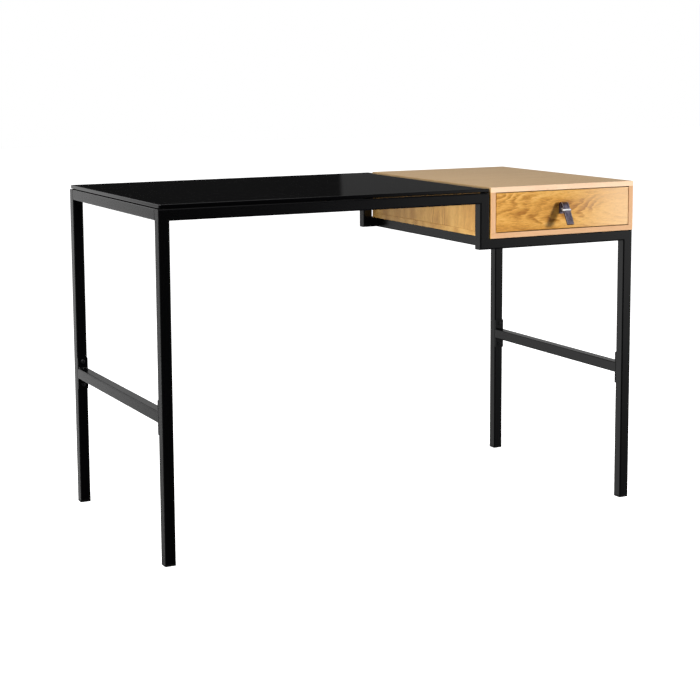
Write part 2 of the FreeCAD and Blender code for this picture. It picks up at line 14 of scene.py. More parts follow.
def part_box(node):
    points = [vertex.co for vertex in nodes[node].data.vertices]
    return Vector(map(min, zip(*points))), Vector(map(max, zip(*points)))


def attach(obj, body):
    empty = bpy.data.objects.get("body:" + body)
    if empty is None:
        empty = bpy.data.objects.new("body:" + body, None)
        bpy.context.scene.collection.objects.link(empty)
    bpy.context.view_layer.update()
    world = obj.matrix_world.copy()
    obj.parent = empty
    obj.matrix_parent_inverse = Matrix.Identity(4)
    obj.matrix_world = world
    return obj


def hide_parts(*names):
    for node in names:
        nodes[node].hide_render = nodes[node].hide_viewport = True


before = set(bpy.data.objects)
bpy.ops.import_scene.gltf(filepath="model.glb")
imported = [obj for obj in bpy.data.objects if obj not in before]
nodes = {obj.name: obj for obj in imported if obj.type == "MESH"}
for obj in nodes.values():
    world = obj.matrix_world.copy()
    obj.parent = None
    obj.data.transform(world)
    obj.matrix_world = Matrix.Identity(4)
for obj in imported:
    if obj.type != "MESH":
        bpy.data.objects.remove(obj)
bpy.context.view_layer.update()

# %% [markdown]
# # Shader maths that reads like maths
# A procedural finish is mostly arithmetic on coordinates. Wiring each Math node by hand hides the idea, so one
# small class wraps a socket and turns +, -, * and / into nodes. It could also have been done with node groups,
# but expressions are easier to read and to change. Every other node comes from one method, add().

# %% The two helper classes
MILLIMETRE = 0.001


class Value:
    """A number that lives on a socket. Arithmetic on it adds the Math node that does it."""

    def __init__(self, recipe, socket):
        self.recipe = recipe
        self.socket = socket

    def math(self, operation, *others):
        inputs = dict(enumerate((self,) + others))
        return self.recipe.add("ShaderNodeMath", {"operation": operation}, inputs)

    def __add__(self, other):
        return self.math("ADD", other)

    def __sub__(self, other):
        return self.math("SUBTRACT", other)

    def __rsub__(self, other):
        return self.math("MULTIPLY", -1.0).math("ADD", other)

    def __mul__(self, other):
        return self.math("MULTIPLY", other)

    def __truediv__(self, other):
        return self.math("DIVIDE", other)

    __radd__ = __add__
    __rmul__ = __mul__

    def root(self):
        return self.math("SQRT")

    def part(self):
        """What is left after the whole number: 0 to 1, again and again."""
        return self.math("FRACT")

    def between(self, low, high):
        """0 below low, 1 above high, and a smooth step between them."""
        span = {"Value": self, "From Min": low, "From Max": high}
        return self.recipe.add("ShaderNodeMapRange", {"interpolation_type": "SMOOTHSTEP"}, span)


class Nodes:
    """A node tree and the one way that nodes get into it."""

    def __init__(self, tree):
        self.tree = tree

    def add(self, kind, settings=None, inputs=None, out=0):
        """Add a node: its settings first, then its sockets. Returns one output, named or numbered."""
        node = self.tree.nodes.new(kind)
        for name, value in (settings or {}).items():
            if name == "stops":
                self.set_stops(node.color_ramp, value)
            else:
                setattr(node, name, value)
        for name, value in (inputs or {}).items():
            self.feed(node.inputs[name], value)
        return Value(self, node.outputs[out])

    def set_stops(self, ramp, stops):
        while len(ramp.elements) < len(stops):
            ramp.elements.new(1.0)
        for element, (place, colour) in zip(ramp.elements, stops):
            element.position = place
            element.color = colour

    def feed(self, socket, value):
        if isinstance(value, Value):
            self.tree.links.new(value.socket, socket)
        else:
            socket.default_value = value

    def axes(self, vector):
        """The three numbers of a vector."""
        x = self.add("ShaderNodeSeparateXYZ", None, {"Vector": vector})
        return [Value(self, socket) for socket in x.socket.node.outputs]

    def vector(self, x, y, z):
        return self.add("ShaderNodeCombineXYZ", None, {"X": x, "Y": y, "Z": z})


class Recipe(Nodes):
    """One material: a Principled surface and the nodes that feed it."""

    def __init__(self, name):
        self.material = bpy.data.materials.new(name)
        self.material.use_nodes = True
        super().__init__(self.material.node_tree)
        self.surface = self.tree.nodes["Principled BSDF"]

    def set(self, **sockets):
        """Feed the surface: base_color=..., roughness=... and so on."""
        for name, value in sockets.items():
            self.feed(self.surface.inputs[name.replace("_", " ").title().replace("Ior", "IOR")], value)
        return self

    def place(self):
        """Where a point is on the piece, in metres, as one vector."""
        return self.add("ShaderNodeTexCoord", out="Object")

    def noise(self, vector, scale, detail=2.0, roughness=0.5):
        inputs = {"Vector": vector, "Scale": scale, "Detail": detail, "Roughness": roughness}
        return self.add("ShaderNodeTexNoise", None, inputs)

    def mix(self, amount, first, second):
        """Blend two colours."""
        node = self.tree.nodes.new("ShaderNodeMix")
        node.data_type = "RGBA"
        self.feed(node.inputs["Factor"], amount)
        colours = [s for s in node.inputs if s.type == "RGBA"]
        self.feed(colours[0], first)
        self.feed(colours[1], second)
        return Value(self, [s for s in node.outputs if s.type == "RGBA"][0])

    def bump(self, height, distance, strength=1.0):
        """Let a height, from 0 to 1, tilt the surface as if it stood up by distance metres."""
        inputs = {"Height": height, "Distance": distance, "Strength": strength}
        self.feed(self.surface.inputs["Normal"], self.add("ShaderNodeBump", None, inputs))


def tone(red, green, blue):
    """A colour given as a paint chart gives it, 0 to 255, turned into the linear light that shaders use."""
    def linear(v):
        v /= 255
        return v / 12.92 if v <= 0.04045 else ((v + 0.055) / 1.055) ** 2.4
    return (linear(red), linear(green), linear(blue), 1.0)


def paint(recipe, *names):
    """Give design pieces a finish in place of their plain one."""
    for name in names:
        slots = nodes[name].data.materials
        slots.clear()
        slots.append(recipe.material)


print("helpers ready")

# %% [markdown]
# # Black powder coat
# The frame is steel tube with a baked powder finish: a deep black film with a faint orange-peel ripple, a
# satin gloss, and nothing else. A flat black would look like a hole, so the life comes from the ripple in the
# reflections and a slow drift in gloss. The ripple is a bump, because it is far too shallow to model.

# %% Powder coat for the tubes
powder = Recipe("black_powder_coat")
spot = powder.place()
peel = powder.noise(spot, 900.0, detail=1.0)
drift = powder.noise(spot, 7.0, detail=3.0)
dust = powder.noise(spot, 160.0, detail=4.0, roughness=0.7).between(0.56, 0.74)
powder.set(
    base_color=powder.mix(dust * 0.35, tone(4, 4, 5), tone(13, 13, 14)),
    roughness=drift * 0.08 + dust * 0.05 + 0.17,
    specular_ior_level=0.45,
)
powder.bump(peel, 0.02 * MILLIMETRE)
tubes = [n for n in nodes if n.endswith(("_leg", "_rail", "_post", "_bearer", "_stretcher", "_end_plate"))]
paint(powder, *tubes)
print("powder coated tubes and plates:", len(tubes))

# %% [markdown]
# # Black glass
# The top is opaque black glass, polished on its face and its rounded edges. Glass like this is almost a
# mirror at a low angle. The only marks are faint wipes, so roughness changes by a hair across the sheet.

# %% Glass for the top
glass = Recipe("black_glass")
spot = glass.place()
wipes = glass.noise(spot, 5.0, detail=5.0, roughness=0.65)
specks = glass.noise(spot, 420.0, detail=2.0).between(0.70, 0.78)
glass.set(
    base_color=glass.mix(specks, tone(4, 4, 5), tone(22, 22, 23)),
    roughness=wipes * 0.05 + specks * 0.15 + 0.02,
    specular_ior_level=0.5,
)
paint(glass, "glass_top")

# %% [markdown]
# # Oak veneer
# Crown-cut oak is a slice through a cone of growth rings, so its pattern is geometry: the distance of each
# point from the heart of a leaning log, cut into rings. Where the log runs deep below the face the lines are
# straight, and where it comes up they close into arches. An image of oak would be simpler, but would repeat
# and could not follow each board. Three finer layers go on top: pores as short dark dashes in each ring's
# early wood, long fibres that drift in colour, and a satin lacquer.

# %% One oak for every board
OAK_LIGHT = tone(234, 184, 104)
OAK_MIDDLE = tone(212, 154, 70)
OAK_DARK = tone(154, 96, 32)
OAK_PORE = tone(116, 68, 26)
# The last tone is a painted sheen, the lamp's gloss haze, not a colour of the wood.
OAK_PAINTED_SHEEN = tone(250, 216, 176)


def oak(name, along, across, centre, heart=0.030, lean=0.10, ring=0.0048, light=OAK_LIGHT, middle=OAK_MIDDLE,
        dark=OAK_DARK, wave=0.010, contrast=1.0, seed=0.0, sapwood=0.0):
    """Oak with its grain along one axis ("X", "Y" or "Z") and the board's width across another.

    centre is a point under which the log's heart lies, heart its depth there, and lean how much it rises
    along the grain; ring is the growth in a year, wave how far the rings wander, all in metres. The last
    argument is how much the board is painted paler towards the far end of its grain: a painted sheen that
    stands in for the lamp's gloss haze on the lacquer, not a colour of the wood.
    """
    wood = Recipe(name)
    letters = "XYZ"
    depth_axis = 3 - letters.index(along) - letters.index(across)
    here = wood.axes(wood.place())
    run = here[letters.index(along)] - centre[letters.index(along)]
    width = here[letters.index(across)] - centre[letters.index(across)]
    depth = here[depth_axis] - centre[depth_axis]

    def streaks(along_scale, across_scale, detail=2.0, roughness=0.5, shift=0.0):
        """Noise drawn out along the grain, as every feature of wood is."""
        point = wood.vector(run * along_scale + shift, width * across_scale + seed, depth * across_scale)
        return wood.noise(point, 1.0, detail=detail, roughness=roughness)

    wander = (streaks(4.0, 10.0) - 0.5) * (2.6 * wave) + (streaks(11.0, 34.0, 3.0, shift=3.0) - 0.5) * (1.3 * wave)
    wander = wander + (streaks(36.0, 180.0, 3.0, 0.6, shift=7.0) - 0.5) * (0.45 * wave)
    below = run * lean + heart + wander + depth
    aside = width + wander * 0.7
    radius = (aside * aside + below * below).root()
    year = (radius / ring).part()
    early = (1.0 - year.between(0.20, 1.0)) * year.between(0.0, 0.20)
    strength = streaks(9.0, 40.0, 3.0, shift=11.0).between(0.35, 0.70)

    fibre = streaks(26.0, 1100.0, 3.0, 0.65)
    drift = streaks(3.5, 26.0, 4.0, 0.6, shift=5.0)
    fleck = streaks(70.0, 520.0, 2.0, 0.6, shift=9.0)
    dash = streaks(120.0, 2100.0, 1.0, shift=2.0)
    pore = dash.between(0.55, 0.68) * (early * 0.8 + 0.2)

    shade = early * strength * (0.80 * contrast) + (fibre - 0.5) * (0.9 * contrast)
    shade = shade + (drift - 0.45) * (2.2 * contrast) + (fleck - 0.5) * (1.1 * contrast)
    shade = shade.between(-0.55, 1.15)
    stops = [(0.0, light), (0.45, middle), (1.0, dark)]
    colour = wood.add("ShaderNodeValToRGB", {"stops": stops}, {"Fac": shade})
    colour = wood.mix(pore * (0.6 * contrast), colour, OAK_PORE)
    # Painted sheen: paler towards the far end of the grain, standing in for the lamp's gloss haze.
    if sapwood:
        colour = wood.mix((run + (drift - 0.5) * 0.08).between(-0.02, 0.20) * sapwood, colour, OAK_PAINTED_SHEEN)
    wood.set(base_color=colour, roughness=fibre * 0.10 + pore * 0.15 + 0.24, specular_ior_level=0.50)
    wood.bump((1.0 - pore) * 0.8 + fibre * 0.2, 0.05 * MILLIMETRE, 0.6)
    return wood


def middle_of(name):
    low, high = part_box(name)
    return (low + high) / 2


def board(name, along, across, shift=(0, 0, 0), kind="oak", **figure):
    """Paint one board with wood of its own. shift moves the log's heart away from the board's middle."""
    paint(oak(kind + "_" + name, along, across, middle_of(name) + Vector(shift), **figure), name)


TOP_TONES = {"light": tone(206, 172, 124), "middle": tone(192, 156, 106), "dark": tone(170, 132, 82)}
CASE_TONES = {"light": tone(222, 178, 104), "middle": tone(205, 156, 82), "dark": tone(170, 118, 54)}
# The drawer front is painted paler towards its right end: a painted sheen for the lamp's gloss haze.
board("drawer_front", "X", "Z", (0, 0, -0.006), heart=0.060, lean=-0.20, ring=0.0085, wave=0.016, seed=3.7,
      sapwood=0.55)
board("cabinet_top", "X", "Y", (0, -0.12, 0), heart=0.06, lean=0.05, wave=0.016, contrast=0.35, seed=9.1,
      **TOP_TONES)
for name, seed in (("cabinet_left_side", 5.3), ("cabinet_right_side", 12.8)):
    board(name, "Z", "Y", (0, -0.05, -0.1), heart=0.05, lean=0.03, wave=0.007, seed=seed, **CASE_TONES)
board("cabinet_bottom", "X", "Y", (0, 0.08, 0), heart=0.05, lean=0.04, seed=2.2, **CASE_TONES)
board("cabinet_back", "X", "Z", heart=0.03, lean=0.06, seed=7.4)
print("oak boards painted; the drawer front's middle is at", [round(v, 3) for v in middle_of("drawer_front")])

# %% [markdown]
# # Edging, drawer board and dowels
# The front edges of the boards are closed with strips of paler, pinker oak, cut straight, so the same recipe
# serves with its heart moved far away: the rings become near-parallel lines. The drawer box is birch board,
# paler and quieter still, and the dowels are beech.

# %% Quieter woods
PALE_EDGING = {"light": tone(254, 222, 188), "middle": tone(246, 208, 172), "dark": tone(222, 176, 138)}
EDGING_TONES = {"light": tone(228, 184, 142), "middle": tone(218, 170, 126), "dark": tone(192, 142, 98)}
BIRCH_TONES = {"light": tone(226, 200, 160), "middle": tone(214, 184, 140), "dark": tone(190, 156, 110)}
for name, along, across, tones in (("cabinet_top_edging", "X", "Z", PALE_EDGING),
                                   ("cabinet_bottom_edging", "X", "Z", EDGING_TONES),
                                   ("cabinet_side_edgings", "Z", "X", EDGING_TONES)):
    board(name, along, across, heart=0.16, lean=0.01, ring=0.0021, wave=0.002, contrast=0.4, seed=len(name),
          **tones)
for name, along, across in (("drawer_left_side", "Y", "Z"), ("drawer_right_side", "Y", "Z"),
                            ("drawer_box_front", "X", "Z"), ("drawer_box_back", "X", "Z"),
                            ("drawer_bottom", "Y", "X")):
    board(name, along, across, kind="birch", heart=0.09, lean=0.03, ring=0.007, wave=0.012, contrast=0.3,
          seed=len(name) * 1.7, **BIRCH_TONES)
board("cabinet_dowels", "Z", "X", kind="beech", heart=0.1, ring=0.003, contrast=0.4, **EDGING_TONES)
print("edging, drawer box and dowels painted")

# %% [markdown]
# # Bright and dark metal
# The runners are zinc-plated sheet: cool grey with a faint crystal mottle and drawing lines along the strip.
# The bolts are blackened steel, the pull's band is polished. One function covers them, because only the tone,
# the roughness and the direction of the lines differ.


# %% Metals
def metal(name, colour, worn, roughness, line_axis=None, metallic=1.0):
    """Bare or plated metal. line_axis gives drawing lines along that axis."""
    bare = Recipe(name)
    spot = bare.place()
    mottle = bare.noise(spot, 240.0, detail=3.0, roughness=0.6)
    if line_axis is None:
        lines = bare.noise(spot, 1500.0, detail=1.0)
    else:
        x, y, z = bare.axes(spot)
        stretch = [12.0 if axis == line_axis else 2600.0 for axis in "XYZ"]
        lines = bare.noise(bare.vector(x * stretch[0], y * stretch[1], z * stretch[2]), 1.0, detail=2.0)
    bare.set(base_color=bare.mix(mottle.between(0.35, 0.7), colour, worn), metallic=metallic,
             roughness=mottle * 0.12 + lines * 0.08 + roughness)
    bare.bump(lines, 0.01 * MILLIMETRE)
    return bare


zinc = metal("zinc_sheet", tone(205, 208, 212), tone(176, 180, 186), 0.22, line_axis="Y", metallic=0.7)
cage_steel = metal("cage_steel", tone(196, 196, 198), tone(150, 150, 154), 0.26)
screw_zinc = metal("screw_zinc", tone(214, 214, 210), tone(186, 186, 180), 0.20)
black_bolt = metal("black_bolt_steel", tone(30, 30, 32), tone(44, 44, 46), 0.26, metallic=0.4)
# The low metallic lets the band's near-white tone show as plain diffuse colour, a painted highlight in place of a
# polished reflection.
polished = metal("polished_band", tone(244, 244, 246), tone(228, 228, 232), 0.12, metallic=0.3)
paint(zinc, *[n for n in nodes if n.endswith("_member")])
paint(cage_steel, *[n for n in nodes if n.endswith("_ball_cage")])
paint(screw_zinc, "runner_cabinet_screws", "runner_drawer_screws", "leg_nuts", "pull_sleeve_nut")
print("metals painted")

# %% [markdown]
# # Feet and pads
# Injection-moulded feet are matt black with a fine spark texture; the pads under the glass are soft rubber.
# Both are the same idea at two scales: a fine grain in the bump and a slow change in roughness.


# %% Moulded plastic and rubber
def moulded(name, colour, lighter, grain, roughness):
    plastic = Recipe(name)
    spot = plastic.place()
    texture = plastic.noise(spot, grain, detail=2.0)
    scuff = plastic.noise(spot, 60.0, detail=4.0, roughness=0.7).between(0.5, 0.75)
    plastic.set(base_color=plastic.mix(scuff * 0.6, colour, lighter), roughness=texture * 0.15 + roughness,
                specular_ior_level=0.35)
    plastic.bump(texture, 0.03 * MILLIMETRE)
    return plastic


paint(moulded("black_foot_plastic", tone(15, 15, 15), tone(34, 34, 34), 1400.0, 0.45),
      *[n for n in nodes if n.endswith("_foot")])
paint(moulded("pad_rubber", tone(20, 20, 20), tone(38, 38, 38), 700.0, 0.7), "glass_pads")
print("feet and pads painted")

# %% [markdown]
# # Holes and recesses
# The sleeve nut passes through the strap, and every screw head needs its recess. Modelling round a hole by
# hand spoils an even grid, so a Boolean modifier takes the tool's shape away, and its result is turned into a
# plain mesh at once, so that nothing live is left on the piece.


# %% Turn modifiers into plain mesh, and cut one piece with another
def plain(piece):
    """Replace a piece's mesh with what its modifiers make of it."""
    bpy.context.view_layer.update()
    seen = piece.evaluated_get(bpy.context.evaluated_depsgraph_get())
    mesh = bpy.data.meshes.new_from_object(seen)
    piece.modifiers.clear()
    piece.data = mesh
    return piece


def new_piece(name, mesh):
    piece = bpy.data.objects.new(name, mesh)
    bpy.context.scene.collection.objects.link(piece)
    return piece


def from_bmesh(name, shape, smooth=True):
    """A new piece from a finished bmesh, its faces turned outwards."""
    bmesh.ops.remove_doubles(shape, verts=shape.verts, dist=1e-7)
    bmesh.ops.recalc_face_normals(shape, faces=shape.faces)
    for face in shape.faces:
        face.smooth = smooth
    mesh = bpy.data.meshes.new(name)
    shape.to_mesh(mesh)
    shape.free()
    return new_piece(name, mesh)


def cut(piece, tool):
    """Take a closed tool's shape out of a closed piece, and throw the tool away."""
    boolean = piece.modifiers.new("cut", "BOOLEAN")
    boolean.operation = "DIFFERENCE"
    boolean.solver = "EXACT"
    boolean.object = tool
    plain(piece)
    bpy.data.objects.remove(tool)
    return piece


def prism(name, outline, low, high):
    """A closed solid: a flat outline in X and Y, drawn up from low to high."""
    shape = bmesh.new()
    floor = [shape.verts.new((x, y, low)) for x, y in outline]
    roof = [shape.verts.new((x, y, high)) for x, y in outline]
    shape.faces.new(floor)
    shape.faces.new(roof)
    for i in range(len(outline)):
        j = (i + 1) % len(outline)
        shape.faces.new([floor[i], floor[j], roof[j], roof[i]])
    return from_bmesh(name, shape, smooth=False)


def round_outline(radius, corners):
    return [(radius * math.cos(math.tau * i / corners), radius * math.sin(math.tau * i / corners))
            for i in range(corners)]


print("mesh helpers ready")

# %% [markdown]
# # The leather pull
# The pull is a strap folded over itself: a short tail clamped to the drawer, a tight bend, and a long front
# part that leans out so that fingers fit behind it. A box bent with a modifier would stretch at the fold, and
# cloth simulation would be heavy for one stiff strap. So we draw a flat blank first, as a leather worker
# does, with rounded corners, burnished edges and a creased line inside the rim, and then bend every point
# of it along the strap's own path, which keeps its length true.

# %% The strap's path, read from the frame
strap_low, strap_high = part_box("pull_strap")
nut_low, nut_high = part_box("pull_sleeve_nut")
drawer_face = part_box("drawer_front")[0].y
screw_z = (nut_low.z + nut_high.z) / 2
pull_x = (strap_low.x + strap_high.x) / 2

STRAP_THICK = 3.2 * MILLIMETRE
BEND_RADIUS = 5.4 * MILLIMETRE
LEAN = math.radians(27.0)
FRONT_LENGTH = 52.0 * MILLIMETRE
TAIL_BELOW_SCREW = 10.0 * MILLIMETRE
strap_width = strap_high.x - strap_low.x
bend_z = strap_high.z - BEND_RADIUS - STRAP_THICK / 2
bend_out = STRAP_THICK / 2 + BEND_RADIUS
tail_length = bend_z - screw_z + TAIL_BELOW_SCREW
bend_length = BEND_RADIUS * (math.pi - LEAN)
strap_length = tail_length + bend_length + FRONT_LENGTH


def on_strap(along, across, above):
    """A point along the strap's middle line, across it, and above it on its outer side, in the desk's frame."""
    turn = min(max(along - tail_length, 0.0), bend_length) / BEND_RADIUS
    angle = math.pi - turn
    before = min(along - tail_length, 0.0)
    after = max(along - tail_length - bend_length, 0.0)
    reach = BEND_RADIUS + above
    out = bend_out + reach * math.cos(angle) + after * math.sin(LEAN)
    up = bend_z + reach * math.sin(angle) + before - after * math.cos(LEAN)
    return Vector((pull_x + across, drawer_face - out, up))


print("strap length, unfolded, in mm:", round(strap_length / MILLIMETRE, 1))
print("its lowest point and the design's, in mm:", [round(v / MILLIMETRE, 2) for v in (
    on_strap(strap_length, 0, STRAP_THICK / 2).z, strap_low.z)])

# %% [markdown]
# The blank is a fine grid, squeezed at its ends into rounded corners. One measure drives its whole relief: how
# far a point lies inside the rim. The thickness swells from nothing at the rim to full in about a millimetre,
# which is what burnishing does to a cut edge, and two millimetres in runs the groove that the stitches sit in.

# %% Cut, groove and bend the leather
TIP_CORNER = 3.0 * MILLIMETRE
RIM_ROUND = 1.3 * MILLIMETRE
GROOVE_INSET = 2.0 * MILLIMETRE
GROOVE_DEPTH = 0.35 * MILLIMETRE
GROOVE_WIDTH = 0.35 * MILLIMETRE
ROW_STEP = 0.45 * MILLIMETRE
HOLE_RADIUS = 3.1 * MILLIMETRE


def rim_steps(span, fine):
    """Distances from 0 to span, close together near both ends, where the edge turns."""
    near = [0.0, 0.02, 0.08, 0.18, 0.32, 0.52, 0.78, 1.05, 1.35, 1.6, 1.8, 2.0, 2.2, 2.4, 2.7]
    near = [v * MILLIMETRE for v in near]
    middle = span - 2 * near[-1]
    count = max(int(middle / fine), 2)
    inner = [near[-1] + middle * i / count for i in range(1, count)]
    return near + inner + [span - v for v in reversed(near)]


def inside_rim(along, across):
    """How far a point of the blank lies inside its rounded outline."""
    to_end = min(along, strap_length - along)
    to_side = strap_width / 2 - abs(across)
    if to_end < TIP_CORNER and to_side < TIP_CORNER:
        return TIP_CORNER - math.hypot(TIP_CORNER - to_end, TIP_CORNER - to_side)
    return min(to_end, to_side)


def half_thickness(inset):
    """Half the leather's thickness there, less the groove."""
    edge = 1 - min(inset / RIM_ROUND, 1.0)
    half = STRAP_THICK / 2 * math.sqrt(max(1 - edge * edge, 0.0))
    return half - GROOVE_DEPTH * math.exp(-((inset - GROOVE_INSET) / GROOVE_WIDTH) ** 2)


def leather_strap(name):
    """The whole strap as one closed mesh, with a UV map in metres along and across it."""
    sheet = bmesh.new()
    flat = sheet.loops.layers.uv.new("along_strap")
    places = {}
    rows = rim_steps(strap_length, ROW_STEP)
    columns = rim_steps(strap_width, 3 * ROW_STEP)
    grids = []
    for side in (1, -1):
        grid = []
        for along in rows:
            corner = TIP_CORNER - min(along, strap_length - along, TIP_CORNER)
            shrink = TIP_CORNER - math.sqrt(TIP_CORNER ** 2 - corner ** 2)
            line = []
            for column in columns:
                across = (column - strap_width / 2) * (1 - 2 * shrink / strap_width)
                inset = max(inside_rim(along, across), 0.0)
                if side == -1 and inset < 1e-7:
                    line.append(grids[0][len(grid)][len(line)])
                    continue
                above = side * half_thickness(inset)
                vertex = sheet.verts.new(on_strap(along, across, above))
                places[vertex] = (along, across)
                line.append(vertex)
            grid.append(line)
        grids.append(grid)
    for side, grid in zip((1, -1), grids):
        for i in range(len(rows) - 1):
            for j in range(len(columns) - 1):
                corners = [grid[i][j], grid[i + 1][j], grid[i + 1][j + 1], grid[i][j + 1]]
                face = sheet.faces.new(corners[::side])
                face.smooth = True
                for loop in face.loops:
                    loop[flat].uv = places[loop.vert]
    return from_bmesh(name, sheet)


strap = leather_strap("folded_leather_strap")
print("strap faces:", len(strap.data.polygons))

# %% The sleeve nut's hole
punch = prism("hole_punch", round_outline(HOLE_RADIUS, 48), -BEND_RADIUS, BEND_RADIUS)
punch.data.transform(Matrix.Translation((pull_x, drawer_face, screw_z)) @ Matrix.Rotation(math.pi / 2, 4, "X"))
cut(strap, punch)
print("strap faces with its hole:", len(strap.data.polygons))

# %% [markdown]
# # Stitches round the strap
# A saddle stitch is one short thread after another, all alike, along a line. That is work for Geometry Nodes:
# the groove's line goes in as a chain of edges, is measured off at the stitch length, and one small thread is
# placed at each mark, turned to follow the line. Another stitch length is then one number, not a new model.


# %% A Geometry Nodes tree in the same style as a material
class Pattern(Nodes):
    """A Geometry Nodes tree with named sizes. It grows a piece on a guide mesh."""

    def __init__(self, name, **sizes):
        super().__init__(bpy.data.node_groups.new(name, "GeometryNodeTree"))
        self.sizes = sizes
        face = self.tree.interface
        face.new_socket("Geometry", in_out="INPUT", socket_type="NodeSocketGeometry")
        self.sockets = {}
        for label in sizes:
            self.sockets[label] = face.new_socket(label, in_out="INPUT", socket_type="NodeSocketFloat")
        face.new_socket("Geometry", in_out="OUTPUT", socket_type="NodeSocketGeometry")
        self.entry = self.tree.nodes.new("NodeGroupInput")

    def size(self, label):
        return Value(self, self.entry.outputs[label])

    def guide(self):
        return Value(self, self.entry.outputs["Geometry"])

    def marks_along(self, pitch):
        """Evenly spaced points along the guide's chains of edges."""
        curve = self.add("GeometryNodeMeshToCurve", None, {"Mesh": self.guide()})
        length = {"Curve": curve, "Length": pitch}
        return self.add("GeometryNodeResampleCurve", {"mode": "LENGTH"}, length)

    def ends_with(self, instances, recipe):
        whole = self.add("GeometryNodeRealizeInstances", None, {"Geometry": instances})
        paint_it = {"Geometry": whole, "Material": recipe.material}
        painted = self.add("GeometryNodeSetMaterial", None, paint_it)
        way_out = self.tree.nodes.new("NodeGroupOutput")
        self.tree.links.new(painted.socket, way_out.inputs["Geometry"])

    def grow(self, name, guide):
        """Run the tree on a guide piece and keep the result as a plain mesh."""
        modifier = guide.modifiers.new(self.tree.name, "NODES")
        modifier.node_group = self.tree
        for label, value in self.sizes.items():
            modifier[self.sockets[label].identifier] = value
        plain(guide)
        guide.name = name
        guide.data.name = name
        return guide


def chain(name, *lines):
    """A guide mesh: one or more lines of points, each a chain of edges. A closed line ends where it began."""
    points = []
    edges = []
    for line, closed in lines:
        first = len(points)
        points += line
        edges += [(first + i, first + i + 1) for i in range(len(line) - 1)]
        if closed:
            edges.append((first + len(line) - 1, first))
    mesh = bpy.data.meshes.new(name)
    mesh.from_pydata(points, edges, [])
    return new_piece(name, mesh)


print("pattern helper ready")

# %% The thread and its line
THREAD = 0.62 * MILLIMETRE
STITCH = 2.35 * MILLIMETRE
STITCH_PITCH = 3.0 * MILLIMETRE
GROOVE_STEP = 0.5 * MILLIMETRE

thread = Recipe("waxed_thread")
ply = thread.noise(thread.place(), 3000.0, detail=1.0)
thread.set(base_color=thread.mix(ply, tone(176, 162, 152), tone(214, 202, 192)), roughness=ply * 0.2 + 0.45)
thread.bump(ply, 0.05 * MILLIMETRE)


def row_of_drops(name, recipe, guide, pitch, width, length):
    """Small round drops at even marks along a guide's edges, each drawn out along its line."""
    row = Pattern(name, Pitch=pitch, Width=width, Length=length)
    tangent = row.add("GeometryNodeInputTangent")
    turn = row.add("FunctionNodeAlignRotationToVector", {"axis": "Z"}, {"Vector": tangent})
    drop = row.add("GeometryNodeMeshUVSphere", None, {"Segments": 8, "Rings": 6, "Radius": 0.5})
    size = row.vector(row.size("Width"), row.size("Width"), row.size("Length"))
    put = {"Points": row.marks_along(row.size("Pitch")), "Instance": drop, "Rotation": turn, "Scale": size}
    row.ends_with(row.add("GeometryNodeInstanceOnPoints", None, put), recipe)
    piece = row.grow(name, guide)
    for face in piece.data.polygons:
        face.use_smooth = True
    return piece


def groove_line(side):
    """The groove's closed line on one face of the strap."""
    above = side * (half_thickness(GROOVE_INSET) + THREAD * 0.05)
    half = strap_width / 2 - GROOVE_INSET
    count = int(strap_length / GROOVE_STEP)
    steps = [GROOVE_INSET + (strap_length - 2 * GROOVE_INSET) * i / count for i in range(count + 1)]
    up = [on_strap(along, half, above) for along in steps]
    down = [on_strap(along, -half, above) for along in reversed(steps)]
    return (up + down, True)


strap_stitches = row_of_drops("strap_stitches", thread, chain("stitch_line", groove_line(1), groove_line(-1)),
                              STITCH_PITCH, THREAD, STITCH)
print("stitches and their faces:", len(strap_stitches.data.polygons))

# %% [markdown]
# # Leather
# The strap is waxed pull-up leather, near black-brown. Where it lies flat its colour is painted a cool grey, a
# painted sheen standing in for the reflection of bright surroundings; over the bend it keeps the leather's own
# darker, warmer brown, and it is burnished darker at the rim. Its UV map runs in metres along the strap, so bend
# and rim are found by simple arithmetic, and the grain is small cells, as skin has.

# %% Waxed leather
leather = Recipe("waxed_leather")
unfolded = leather.add("ShaderNodeUVMap", {"uv_map": "along_strap"})
along, across = leather.axes(unfolded)[:2]
spot = leather.place()
cells = leather.add("ShaderNodeTexVoronoi", {"feature": "DISTANCE_TO_EDGE"}, {"Vector": spot, "Scale": 900.0})
grain = cells.between(0.0, 0.22)
cloud = leather.noise(spot, 130.0, detail=4.0, roughness=0.6)
bend_middle = tail_length + bend_length / 2
from_bend = ((along - bend_middle) * (along - bend_middle)).root()
on_bend = 1.0 - from_bend.between(bend_length * 0.35, bend_length * 0.75)
from_side = strap_width / 2 - (across * across).root()
rim = from_side.math("MINIMUM", strap_length - along)
burnished = 1.0 - rim.between(0.5 * MILLIMETRE, 1.1 * MILLIMETRE)
# Painted sheen: cool greys on the flat parts stand in for reflected light; the bend keeps the leather's own brown.
leather_with_painted_sheen = leather.mix(cloud.between(0.35, 0.65), tone(62, 56, 66), tone(98, 92, 104))
leather_with_painted_sheen = leather.mix(on_bend, leather_with_painted_sheen, tone(52, 33, 24))
leather_with_painted_sheen = leather.mix(burnished, leather_with_painted_sheen, tone(38, 16, 18))
leather.set(base_color=leather_with_painted_sheen, roughness=cloud * 0.15 + (1.0 - grain) * 0.15 + 0.32, specular_ior_level=0.5)
leather.bump(grain * 0.7 + cloud * 0.3, 0.06 * MILLIMETRE)
strap.data.materials.clear()
strap.data.materials.append(leather.material)
print("leather ready")

# %% [markdown]
# # The bright band
# A thin metal keeper holds the strap's fold together. It is a strip bent round the leather, so it is swept: a
# small section with rounded edges is carried round a rounded rectangle. A scaled ring would have thin corners.

